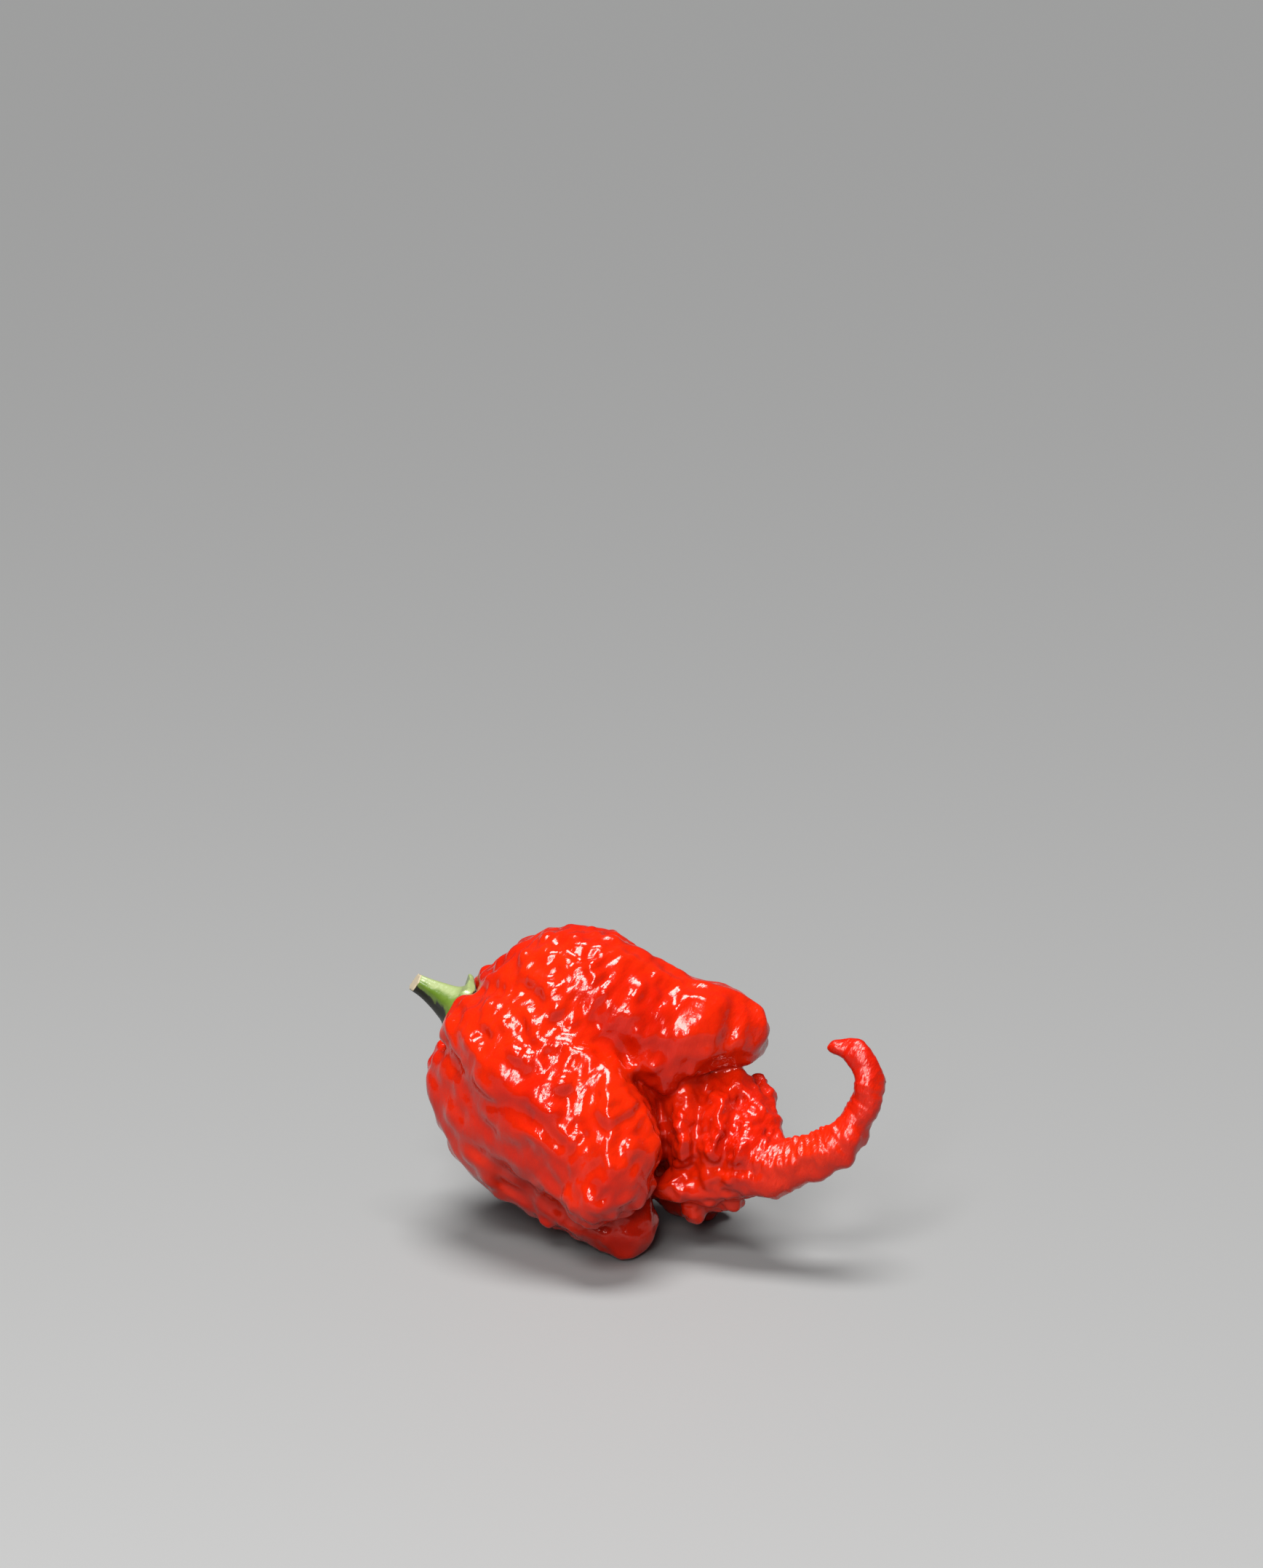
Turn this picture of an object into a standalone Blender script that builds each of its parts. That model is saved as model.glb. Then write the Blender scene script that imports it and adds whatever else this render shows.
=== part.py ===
"""A wrinkled, hook-tailed chilli pepper lying on its side, with its stalk and calyx.

Lengths are in millimetres until the meshes are made, and MM turns them into metres.
A place is (x to the right, y away from the viewer, z up) as the fruit is seen from the front and
a little above. LEAN then turns that frame level, and the pepper is set down on its low points.
"""

import math
from itertools import product

import bpy
import numpy as np
from mathutils import Matrix, Vector

MM = 0.001
LEAN = math.radians(18)

GRID_STEP = 0.5
GRID_LOW = (-26.0, -20.0, -2.0)
GRID_HIGH = (34.0, 21.0, 43.0)
FAR = 5.0
PINCH_FILL = -0.02

POD_TRIANGLES = 8000
POD_COLOUR = (0.73, 0.013, 0.0012)
POD_ROUGHNESS = 0.22
GREEN_COLOUR = (0.174, 0.287, 0.03)
GREEN_ROUGHNESS = 0.45
CUTTER_SIZE = 50.0

# The place that becomes the origin, after the turn: under the middle, on the plane that it rests on.
ORIGIN = (2.91, 6.3, 0.3)

# The flesh. A limb is a row of (x, y, z, radius), joined by a smooth curve.
CORE = [(-12.5, 4.0, 26.5, 7.5), (-4.7, 1.5, 22.2, 12.3), (2.0, 1.5, 19.5, 7.0)]
FRONT_FILL = [(-13.0, -4.5, 27.4, 5.0), (-7.0, -6.0, 25.4, 6.2), (-2.2, -7.0, 23.0, 3.4)]
TOP_LOBE = [
    (-11.5, 1.0, 31.5, 5.6),
    (-4.7, -3.0, 31.4, 8.6),
    (4.1, -4.5, 28.7, 6.3),
    (10.2, -5.0, 28.0, 5.3),
    (13.3, -4.0, 27.5, 4.4),
]
TOP_BELLY = [(2.4, -5.6, 26.2, 3.6), (5.4, -6.6, 24.7, 3.6), (8.6, -6.4, 25.6, 3.5)]
TOP_KNOB = [(13.0, -2.0, 27.0, 3.2), (15.2, -1.2, 26.6, 3.1)]
FRONT_LOBE = [
    (-17.0, -3.0, 27.6, 3.9),
    (-10.3, -6.0, 21.4, 7.4),
    (-4.7, -8.2, 16.5, 7.4),
    (-0.4, -10.0, 12.8, 5.8),
    (-2.4, -11.4, 7.6, 3.4),
]
FRONT_RIDGE = [
    (-3.2, -10.4, 21.6, 3.2),
    (-1.0, -11.8, 18.6, 3.3),
    (0.2, -11.2, 14.6, 4.3),
]
FLANK = [
    (-17.8, -0.5, 21.9, 4.2),
    (-16.2, -1.5, 17.8, 4.4),
    (-12.6, -3.8, 15.2, 4.6),
    (-8.6, -6.0, 13.5, 4.8),
    (-3.4, -8.4, 9.8, 4.5),
]
SIDE_LOBE = [(-19.0, 2.0, 21.2, 3.4), (-18.2, 2.0, 18.0, 3.9), (-14.4, 1.0, 14.3, 4.4)]
LOW_LOBE = [
    (-14.5, 1.0, 14.0, 4.7),
    (-6.6, 0.0, 8.0, 4.9),
    (-2.9, -1.0, 6.0, 4.5),
    (0.5, -1.0, 4.3, 4.3),
]
BACK_LOW_LOBE = [
    (-14.0, 9.0, 26.0, 6.3),
    (-10.0, 10.0, 16.5, 7.8),
    (-7.6, 11.2, 7.9, 3.9),
    (-2.0, 9.5, 9.8, 5.4),
]
BACK_TOP_LOBE = [
    (-12.2, 8.0, 30.4, 6.3),
    (-2.0, 8.0, 29.0, 8.5),
    (6.0, 7.0, 25.0, 6.5),
    (10.5, 6.0, 22.5, 4.5),
]
BACK_RIGHT_LOBE = [(-2.0, 8.0, 16.0, 7.0), (4.8, 9.8, 12.7, 5.5), (9.5, 11.9, 8.0, 4.2)]
# Each lobe with the width over which the fold beside it is rounded.
LOBES = [
    (CORE, 2.5),
    (TOP_LOBE, 2.5),
    (TOP_BELLY, 2.5),
    (FRONT_FILL, 5.0),
    (FRONT_LOBE, 2.8),
    (FRONT_RIDGE, 2.0),
    (FLANK, 4.5),
    (SIDE_LOBE, 4.0),
    (LOW_LOBE, 3.4),
    (BACK_LOW_LOBE, 2.2),
    (BACK_TOP_LOBE, 2.2),
    (BACK_RIGHT_LOBE, 2.2),
    (TOP_KNOB, 1.5),
]

# The narrow tip of the fruit, which stands out from between the lobes, and its hooked tail.
CONE = [(6.3, 1.5, 16.5, 6.2), (10.3, -1.5, 15.2, 6.9), (14.6, -4.0, 13.3, 5.2)]
CONE_SHOULDER = [
    (10.2, -2.0, 19.3, 3.6),
    (14.1, -3.0, 19.7, 2.5),
    (16.1, -4.0, 17.3, 2.2),
    (18.0, -5.0, 14.9, 1.9),
]
CONE_FOOT = [
    (6.1, -2.5, 9.5, 2.3),
    (9.5, -4.0, 8.9, 2.4),
    (13.5, -5.0, 9.3, 2.2),
    (16.0, -6.0, 10.0, 2.0),
]
CONE_BLEND = 1.0
TAIL = [
    (13.0, -5.0, 12.5, 4.4),
    (17.0, -7.0, 11.2, 3.8),
    (20.5, -8.6, 11.5, 2.95),
    (23.3, -10.0, 12.0, 2.7),
    (26.2, -11.0, 13.8, 2.3),
    (28.9, -11.8, 17.4, 2.0),
    (29.7, -12.4, 20.4, 1.75),
    (29.4, -12.5, 22.2, 1.55),
    (28.7, -12.4, 23.6, 1.55),
    (27.8, -12.2, 24.6, 1.55),
    (26.8, -12.0, 25.1, 1.4),
    (25.9, -11.9, 25.2, 1.2),
    (25.2, -11.8, 25.1, 0.8),
]
TAIL_BLEND = 1.5
NODULES = [
    (16.6, -1.0, 21.2, 1.2),
    (17.7, -2.0, 19.3, 1.2),
    (17.9, -3.0, 17.3, 1.0),
    (8.9, -1.0, 6.0, 2.0),
    (11.4, -1.5, 6.7, 1.5),
    (13.5, -2.5, 7.3, 1.4),
    (15.7, -4.5, 8.3, 1.2),
    (18.9, -6.5, 8.8, 1.3),
    (6.4, -4.0, 8.8, 1.5),
]
NODULE_BLEND = 1.2

# Strokes raise or press the skin that faces the viewer: height, width, then (x, z) along the stroke.
STROKES = [
    (-0.6, 1.6, [(-12.3, 21.2), (-8.4, 22.9)]),
    (-0.6, 1.5, [(-6.0, 18.8), (-4.4, 15.0)]),
    (0.5, 1.1, [(-13.4, 15.8), (-10.0, 14.4), (-6.2, 11.4), (-4.2, 10.0)]),
    (-0.4, 1.1, [(-13.6, 18.6), (-10.2, 16.8), (-7.0, 14.2)]),
    (0.7, 1.4, [(-1.0, 23.4), (-1.2, 18.6), (-1.0, 14.6)]),
    (-0.6, 1.2, [(1.2, 16.8), (3.0, 14.6)]),
    (0.6, 1.2, [(1.2, 12.9), (-1.0, 9.8)]),
    (-0.7, 1.0, [(-20.6, 25.5), (-19.2, 22.6)]),
    (0.5, 1.3, [(-19.5, 27.3), (-15.4, 22.5), (-12.8, 22.0)]),
    (-0.8, 2.0, [(-2.3, 27.3), (-0.1, 24.2)]),
    (-0.7, 1.2, [(-17.8, 32.3), (-14.1, 31.7), (-11.0, 32.1)]),
    (-0.5, 1.5, [(-4.9, 30.4), (-6.6, 27.7)]),
    (-1.8, 0.8, [(2.3, 21.3), (4.7, 18.8), (5.9, 14.9), (5.8, 11.5), (4.9, 10.0)]),
    (-0.65, 1.4, [(13.6, 28.6), (12.6, 26.0), (12.0, 24.5)]),
    (0.7, 1.0, [(14.2, 20.9), (12.3, 18.8), (12.3, 16.6), (11.8, 14.8), (11.0, 12.8)]),
    (0.7, 0.9, [(17.2, 18.2), (14.9, 16.8), (15.6, 15.0), (14.2, 12.4)]),
    (0.5, 1.0, [(8.2, 20.1), (6.8, 18.2), (7.5, 14.9), (7.3, 12.1)]),
    (-0.7, 0.9, [(10.4, 20.6), (9.4, 17.8), (9.6, 15.0), (8.9, 11.6)]),
    (-0.8, 0.8, [(14.6, 18.8), (13.6, 15.6), (12.7, 13.4), (12.2, 11.4)]),
    (-0.4, 0.8, [(7.3, 10.5), (11.8, 11.1), (16.1, 10.4)]),
    (0.4, 0.8, [(5.7, 8.9), (7.3, 8.4)]),
    (0.35, 0.8, [(9.5, 9.3), (10.8, 9.0)]),
    (0.35, 0.8, [(13.2, 9.8), (14.6, 9.6)]),
    (0.35, 1.2, [(-13.6, 28.7), (-12.7, 29.2)]),
    (0.35, 1.1, [(-13.5, 24.0), (-12.8, 24.4)]),
    (0.35, 1.0, [(-1.6, 19.9), (-1.4, 18.8)]),
    (0.4, 1.5, [(-1.8, 11.9), (-1.3, 10.7)]),
    (0.3, 1.2, [(-10.6, 14.8), (-9.2, 14.2)]),
    (0.25, 1.2, [(-9.4, 26.4), (-8.8, 26.0)]),
    (-0.45, 0.9, [(-16.5, 12.3), (-14.4, 10.9), (-11.2, 9.2), (-9.0, 7.1), (-5.8, 4.9), (-1.5, 4.0)]),
    (-0.45, 0.6, [(-14.4, 9.3), (-11.6, 7.5), (-9.2, 4.9), (-6.4, 3.0)]),
    (0.5, 1.5, [(-3.2, 7.6), (-2.2, 6.9)]),
]
STROKE_FRONT = (-1.0, 3.0)

# Swells and small lumps all over: wavelength, height.
RELIEF = [(6.5, 0.16), (3.2, 0.13)]
RELIEF_WAVES = 24
RELIEF_SEED = 11

# The green: a stalk that widens into a calyx, which drapes over a pit in the fruit's end.
PIT = (-21.6, 5.6, 31.2, 4.4)
PIT_BLEND = 1.8
CALYX_CENTRE = (-19.2, 5.0, 29.7)
STALK_AXIS = (-0.79, 0.31, 0.53)
STALK = [
    (-17.0, 4.3, 28.4, 3.4),
    (-19.4, 5.2, 29.9, 2.6),
    (-21.7, 6.2, 31.4, 1.8),
    (-23.9, 7.2, 32.7, 1.3),
    (-26.6, 8.4, 34.1, 1.15),
]
STALK_CUT = (-0.83, -0.28, 0.48)
STALK_LENGTH = 6.0
STALK_SIDES = 5
STALK_RIB = 0.12
CALYX_RADIUS = 4.0
CALYX_THICKNESS = 0.7
TOOTH_LENGTH = 0.5
TEETH = 5
TOOTH_TURN = 0.7
SKIN_GAP = 0.35
GREEN_BLEND = 1.4
GREEN_STEP = 0.25
GREEN_LOW = (-27.0, -3.0, 22.0)
GREEN_HIGH = (-13.0, 13.0, 37.0)
GREEN_TRIANGLES = 1800


def smooth_row(row, pieces=6):
    """Points of a Catmull-Rom curve through the row's own points, radius included."""
    row = np.array(row, float)
    ends = np.vstack([2 * row[0] - row[1], row, 2 * row[-1] - row[-2]])
    points = []
    for a, b, c, d in zip(ends, ends[1:], ends[2:], ends[3:]):
        for t in np.arange(pieces) / pieces:
            bend = (2 * a - 5 * b + 4 * c - d) * t**2 + (3 * b - a - 3 * c + d) * t**3
            points.append(b + 0.5 * ((c - a) * t + bend))
    return np.array(points + [row[-1]])


def soft_min(a, b, blend):
    """The lesser of two distances, with the corner between them rounded over `blend`."""
    share = np.clip(0.5 + 0.5 * (b - a) / blend, 0, 1)
    return b + (a - b) * share - blend * share * (1 - share)


def ripples(points, wavelength, seed):
    """A smooth random relief of unit spread: plane waves of one length, in every direction."""
    rng = np.random.default_rng(seed)
    directions = rng.normal(size=(RELIEF_WAVES, 3))
    directions *= 2 * np.pi / wavelength / np.linalg.norm(directions, axis=1)[:, None]
    phases = rng.uniform(0, 2 * np.pi, RELIEF_WAVES)
    total = sum(np.cos(points @ d + phase) for d, phase in zip(directions, phases))
    return total * math.sqrt(2 / RELIEF_WAVES)


class Field:
    """Distance to the skin on a grid, in millimetres: negative inside, and FAR where nothing is near."""

    def __init__(self, low, high, step):
        self.low = np.array(low)
        self.step = step
        counts = np.ceil((np.array(high) - self.low) / step).astype(int) + 1
        self.axes = [low + step * np.arange(n) for low, n in zip(self.low, counts)]
        self.value = np.full(counts, FAR)

    def window(self, low, high):
        """The grid's slices inside a box, and its coordinates there."""
        slices = tuple(
            slice(*np.searchsorted(axis, (a, b))) for axis, a, b in zip(self.axes, low, high)
        )
        axes = [axis[s] for axis, s in zip(self.axes, slices)]
        return slices, np.meshgrid(*axes, indexing="ij", sparse=True)

    def limb(self, row):
        """The slices where a limb is near, and the distances to it there."""
        points = smooth_row(row)
        reach = points[:, 3:] + FAR
        low = (points[:, :3] - reach).min(axis=0)
        high = (points[:, :3] + reach).max(axis=0)
        slices, (x, y, z) = self.window(low, high)
        near = np.full(self.value[slices].shape, np.inf)
        for a, b in zip(points, points[1:]):
            run = b - a
            along = (x - a[0]) * run[0] + (y - a[1]) * run[1] + (z - a[2]) * run[2]
            t = np.clip(along / (run[:3] @ run[:3]), 0, 1)
            away = [p - q - t * r for p, q, r in zip((x, y, z), a, run)]
            gap = np.sqrt(away[0] ** 2 + away[1] ** 2 + away[2] ** 2)
            near = np.minimum(near, gap - a[3] - t * run[3])
        return slices, near

    def ball(self, ball):
        """The slices where a ball is near, and the distances to it there."""
        centre, radius = np.array(ball[:3]), ball[3]
        reach = radius + FAR
        slices, (x, y, z) = self.window(centre - reach, centre + reach)
        gap = np.sqrt((x - centre[0]) ** 2 + (y - centre[1]) ** 2 + (z - centre[2]) ** 2)
        return slices, gap - radius

    def join(self, found, blend):
        slices, other = found
        self.value[slices] = soft_min(self.value[slices], other, blend)

    def carve(self, found, blend):
        slices, other = found
        self.value[slices] = -soft_min(-self.value[slices], other, blend)

    def stroke(self, height, width, places):
        """Raises the front skin by `height` along a line of (x, z) places, fading out over `width`."""
        x, y, z = np.meshgrid(*self.axes, indexing="ij", sparse=True)
        gap = np.full((x.size, 1, z.size), np.inf)
        for (ax, az), (bx, bz) in zip(places, places[1:]):
            along = (x - ax) * (bx - ax) + (z - az) * (bz - az)
            t = np.clip(along / ((bx - ax) ** 2 + (bz - az) ** 2), 0, 1)
            gap = np.minimum(gap, (x - ax - t * (bx - ax)) ** 2 + (z - az - t * (bz - az)) ** 2)
        front, back = STROKE_FRONT
        fade = np.clip((back - y) / (back - front), 0, 1)
        self.value -= height * np.exp(-gap / width**2) * fade

    def roughen(self):
        """Adds the swells and lumps, near the skin only."""
        band = np.abs(self.value) < 0.6 * FAR
        where = np.argwhere(band)
        points = self.low + self.step * where
        for number, (wavelength, height) in enumerate(RELIEF):
            self.value[band] -= height * ripples(points, wavelength, RELIEF_SEED + number)

    def at(self, points):
        """The field between the grid's nodes."""
        place = (points - self.low) / self.step
        base = np.clip(np.floor(place).astype(int), 0, np.array(self.value.shape) - 2)
        share = place - base
        total = 0
        for corner in product((0, 1), repeat=3):
            weight = np.prod(np.where(corner, share, 1 - share), axis=-1)
            index = base + corner
            total = total + weight * self.value[index[..., 0], index[..., 1], index[..., 2]]
        return total


def cell_corners(grid):
    """The eight views of a grid that hold each cell's corners, those across the cell being i and 7 - i."""
    return [
        grid[tuple(slice(o, n - 1 + o) for o, n in zip(offset, grid.shape))]
        for offset in product((0, 1), repeat=3)
    ]


def close_pinches(value):
    """Fills places where the skin would touch itself along an edge or at a point of the grid."""
    while True:
        inside = value < 0
        fill = np.zeros(inside.shape, bool)
        for axis in range(3):
            square = np.moveaxis(inside, axis, 2)
            target = np.moveaxis(fill, axis, 2)
            a, b, c, d = square[:-1, :-1], square[1:, :-1], square[:-1, 1:], square[1:, 1:]
            target[1:, :-1] |= a & d & ~b & ~c
            target[:-1, :-1] |= b & c & ~a & ~d
        corners = cell_corners(inside)
        count = sum(corner.astype(int) for corner in corners)
        targets = cell_corners(fill)
        for i in range(4):
            first, last = corners[i], corners[7 - i]
            targets[i ^ 1][...] |= first & last & (count == 2)
            targets[i][...] |= ~first & ~last & (count == 6)
        if not fill.any():
            return
        value[fill] = PINCH_FILL


def skin(field):
    """Points and quads of the surface where the field is zero: one point in each cell that it crosses."""
    value = field.value
    close_pinches(value)
    inside = value < 0
    corners = cell_corners(inside)
    crossed_cells = np.logical_or.reduce(corners) & ~np.logical_and.reduce(corners)
    cells = np.argwhere(crossed_cells)
    number = np.full(crossed_cells.shape, -1)
    number[tuple(cells.T)] = np.arange(len(cells))

    total = np.zeros((len(cells), 3))
    crossings = np.zeros(len(cells))
    quads = []
    for axis in range(3):
        along, side, up = np.roll(np.eye(3, dtype=int), axis, axis=0)
        for start in (0 * side, side, up, side + up):
            a = value[tuple((cells + start).T)]
            b = value[tuple((cells + start + along).T)]
            crossed = (a < 0) != (b < 0)
            share = np.where(crossed, a / np.where(crossed, a - b, 1), 0)
            total += crossed[:, None] * (start + share[:, None] * along)
            crossings += crossed
        first = inside[tuple(slice(0, n - o) for n, o in zip(value.shape, along))]
        second = inside[tuple(slice(o, n) for n, o in zip(value.shape, along))]
        edges = np.argwhere(first != second)
        ring = [number[tuple((edges - back).T)] for back in (0 * side, side, side + up, up)]
        quad = np.stack(ring, axis=1)
        leaving = first[tuple(edges.T)]
        quads.append(np.where(leaving[:, None], quad, quad[:, ::-1]))
    points = field.low + field.step * (cells + total / crossings[:, None])
    return points, np.concatenate(quads)


def pod_field():
    field = Field(GRID_LOW, GRID_HIGH, GRID_STEP)
    for lobe, blend in LOBES:
        field.join(field.limb(lobe), blend)
    field.carve(field.ball(PIT), PIT_BLEND)
    for limb in (CONE, CONE_SHOULDER, CONE_FOOT):
        field.join(field.limb(limb), CONE_BLEND)
    field.join(field.limb(TAIL), TAIL_BLEND)
    for nodule in NODULES:
        field.join(field.ball(nodule), NODULE_BLEND)
    for height, width, places in STROKES:
        field.stroke(height, width, places)
    field.roughen()
    return field


def green_field(pod):
    """The stalk and calyx, kept off the pod's skin by SKIN_GAP."""
    field = Field(GREEN_LOW, GREEN_HIGH, GREEN_STEP)
    points = np.stack(np.meshgrid(*field.axes, indexing="ij"), axis=-1)
    axis = np.array(Vector(STALK_AXIS).normalized())
    across = np.array(Vector(STALK_AXIS).cross((0, 1, 0)).normalized())
    over = np.cross(axis, across)
    place = points - CALYX_CENTRE
    turn = np.arctan2(place @ across, place @ over)
    off_axis = np.hypot(place @ across, place @ over)

    height = pod.at(points) - SKIN_GAP
    tooth = (0.5 + 0.5 * np.cos(TEETH * (turn - TOOTH_TURN))) ** 2
    edge = off_axis - CALYX_RADIUS - TOOTH_LENGTH * tooth
    sheet = np.abs(height - CALYX_THICKNESS / 2) - CALYX_THICKNESS / 2
    calyx = np.maximum(sheet, edge)

    slices, stalk = field.limb(STALK)
    field.value[slices] = stalk - STALK_RIB * np.cos(STALK_SIDES * turn[slices])
    field.value = np.maximum(field.value, place @ np.array(STALK_CUT) - STALK_LENGTH)
    field.value = soft_min(field.value, calyx, GREEN_BLEND)
    field.value = np.maximum(field.value, -height)
    return field


def principled(name, colour, roughness):
    material = bpy.data.materials.new(name)
    material.use_nodes = True
    shader = material.node_tree.nodes["Principled BSDF"]
    shader.inputs["Base Color"].default_value = (*colour, 1)
    shader.inputs["Roughness"].default_value = roughness
    shader.inputs["Metallic"].default_value = 0
    return material


def solid(name, field, triangles, material):
    """A named solid from a field, turned level, brought to the origin and thinned to about `triangles`."""
    points, quads = skin(field)
    turn = np.array(Matrix.Rotation(-LEAN, 3, "X"))
    points = points @ turn.T - ORIGIN
    mesh = bpy.data.meshes.new(name)
    mesh.from_pydata((points * MM).tolist(), [], quads.tolist())
    mesh.polygons.foreach_set("use_smooth", np.ones(len(quads), bool))
    mesh.materials.append(material)
    obj = bpy.data.objects.new(name, mesh)
    bpy.context.scene.collection.objects.link(obj)
    thin = obj.modifiers.new("thin", "DECIMATE")
    thin.ratio = triangles / (2 * len(quads))
    thin.use_collapse_triangulate = True
    return obj


def floor_cutter():
    """A block under the floor: it takes off what would sink in, and so leaves the flat resting spots."""
    corners = [Vector(c) * CUTTER_SIZE * MM for c in product((-1, 1), (-1, 1), (-2, 0))]
    mesh = bpy.data.meshes.new("floor_cutter")
    faces = [(0, 1, 3, 2), (4, 6, 7, 5), (0, 4, 5, 1), (2, 3, 7, 6), (0, 2, 6, 4), (1, 5, 7, 3)]
    mesh.from_pydata(corners, [], faces)
    cutter = bpy.data.objects.new("floor_cutter", mesh)
    bpy.context.scene.collection.objects.link(cutter)
    cutter.hide_render = True
    cutter.display_type = "WIRE"
    return cutter


def main():
    for obj in list(bpy.data.objects):
        bpy.data.objects.remove(obj)
    flesh = pod_field()
    pod = solid("pod", flesh, POD_TRIANGLES, principled("pod_red", POD_COLOUR, POD_ROUGHNESS))
    rest = pod.modifiers.new("rest", "BOOLEAN")
    rest.operation = "DIFFERENCE"
    rest.solver = "EXACT"
    rest.object = floor_cutter()
    green = principled("stalk_green", GREEN_COLOUR, GREEN_ROUGHNESS)
    solid("stalk_and_calyx", green_field(flesh), GREEN_TRIANGLES, green)


main()
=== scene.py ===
"""The looks of the chilli pepper: the same lobes as the solids, with the skin's fine wrinkles.

Lengths are in millimetres until the meshes are made, and MM turns them into metres. Those of the
materials and the lamps are in metres from the start.
"""

import math
from itertools import product

import bpy
import numpy as np
from mathutils import Matrix, Vector


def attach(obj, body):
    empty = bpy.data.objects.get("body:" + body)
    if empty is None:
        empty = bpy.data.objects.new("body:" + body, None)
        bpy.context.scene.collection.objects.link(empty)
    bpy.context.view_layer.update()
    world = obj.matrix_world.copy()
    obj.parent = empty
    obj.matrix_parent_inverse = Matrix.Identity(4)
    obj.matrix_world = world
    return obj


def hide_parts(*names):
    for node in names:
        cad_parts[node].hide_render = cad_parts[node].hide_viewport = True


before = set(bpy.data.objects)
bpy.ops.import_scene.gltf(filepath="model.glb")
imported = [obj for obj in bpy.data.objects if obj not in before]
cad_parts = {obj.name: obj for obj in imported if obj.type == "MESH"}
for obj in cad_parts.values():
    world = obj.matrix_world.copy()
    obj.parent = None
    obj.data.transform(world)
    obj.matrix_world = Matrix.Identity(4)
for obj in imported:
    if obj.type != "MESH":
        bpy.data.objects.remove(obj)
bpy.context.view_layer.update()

MM = 0.001

# The shape is laid out with y away from the viewer and z up the picture. Turned by LEAN, it lies level.
LEAN = math.radians(18)

# The pod's grid. Distances are cut off at FAR, and pinches in the skin are filled to PINCH_FILL.
GRID_STEP = 0.3
GRID_LOW = (-26.0, -20.0, -2.0)
GRID_HIGH = (34.0, 21.0, 43.0)
FAR = 5.0
PINCH_FILL = -0.02

# The place that becomes the origin, after the turn: under the middle, on the plane that it rests on.
ORIGIN = (2.91, 6.3, 0.3)

# The flesh. A limb is a row of (x, y, z, radius), joined by a smooth curve.
CORE = [(-12.5, 4.0, 26.5, 7.5), (-4.7, 1.5, 22.2, 12.3), (2.0, 1.5, 19.5, 7.0)]
FRONT_FILL = [(-13.0, -4.5, 27.4, 5.0), (-7.0, -6.0, 25.4, 6.2), (-2.2, -7.0, 23.0, 3.4)]
TOP_LOBE = [
    (-11.5, 1.0, 31.5, 5.6),
    (-4.7, -3.0, 31.4, 8.6),
    (4.1, -4.5, 28.7, 6.3),
    (10.2, -5.0, 28.0, 5.3),
    (13.3, -4.0, 27.5, 4.4),
]
TOP_BELLY = [(2.4, -5.6, 26.2, 3.6), (5.4, -6.6, 24.7, 3.6), (8.6, -6.4, 25.6, 3.5)]
TOP_KNOB = [(13.0, -2.0, 27.0, 3.2), (15.2, -1.2, 26.6, 3.1)]
FRONT_LOBE = [
    (-17.0, -3.0, 27.6, 3.9),
    (-10.3, -6.0, 21.4, 7.4),
    (-4.7, -8.2, 16.5, 7.4),
    (-0.4, -10.0, 12.8, 5.8),
    (-2.4, -11.4, 7.6, 3.4),
]
FRONT_RIDGE = [
    (-3.2, -10.4, 21.6, 3.2),
    (-1.0, -11.8, 18.6, 3.3),
    (0.2, -11.2, 14.6, 4.3),
]
FLANK = [
    (-17.8, -0.5, 21.9, 4.2),
    (-16.2, -1.5, 17.8, 4.4),
    (-12.6, -3.8, 15.2, 4.6),
    (-8.6, -6.0, 13.5, 4.8),
    (-3.4, -8.4, 9.8, 4.5),
]
SIDE_LOBE = [(-19.0, 2.0, 21.2, 3.4), (-18.2, 2.0, 18.0, 3.9), (-14.4, 1.0, 14.3, 4.4)]
LOW_LOBE = [
    (-14.5, 1.0, 14.0, 4.7),
    (-6.6, 0.0, 8.0, 4.9),
    (-2.9, -1.0, 6.0, 4.5),
    (0.5, -1.0, 4.3, 4.3),
]
BACK_LOW_LOBE = [
    (-14.0, 9.0, 26.0, 6.3),
    (-10.0, 10.0, 16.5, 7.8),
    (-7.6, 11.2, 7.9, 3.9),
    (-2.0, 9.5, 9.8, 5.4),
]
BACK_TOP_LOBE = [
    (-12.2, 8.0, 30.4, 6.3),
    (-2.0, 8.0, 29.0, 8.5),
    (6.0, 7.0, 25.0, 6.5),
    (10.5, 6.0, 22.5, 4.5),
]
BACK_RIGHT_LOBE = [(-2.0, 8.0, 16.0, 7.0), (4.8, 9.8, 12.7, 5.5), (9.5, 11.9, 8.0, 4.2)]
# Each lobe with the width over which the fold beside it is rounded.
LOBES = [
    (CORE, 2.5),
    (TOP_LOBE, 2.5),
    (TOP_BELLY, 2.5),
    (FRONT_FILL, 5.0),
    (FRONT_LOBE, 2.8),
    (FRONT_RIDGE, 2.0),
    (FLANK, 4.5),
    (SIDE_LOBE, 4.0),
    (LOW_LOBE, 3.4),
    (BACK_LOW_LOBE, 2.2),
    (BACK_TOP_LOBE, 2.2),
    (BACK_RIGHT_LOBE, 2.2),
    (TOP_KNOB, 1.5),
]

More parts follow.
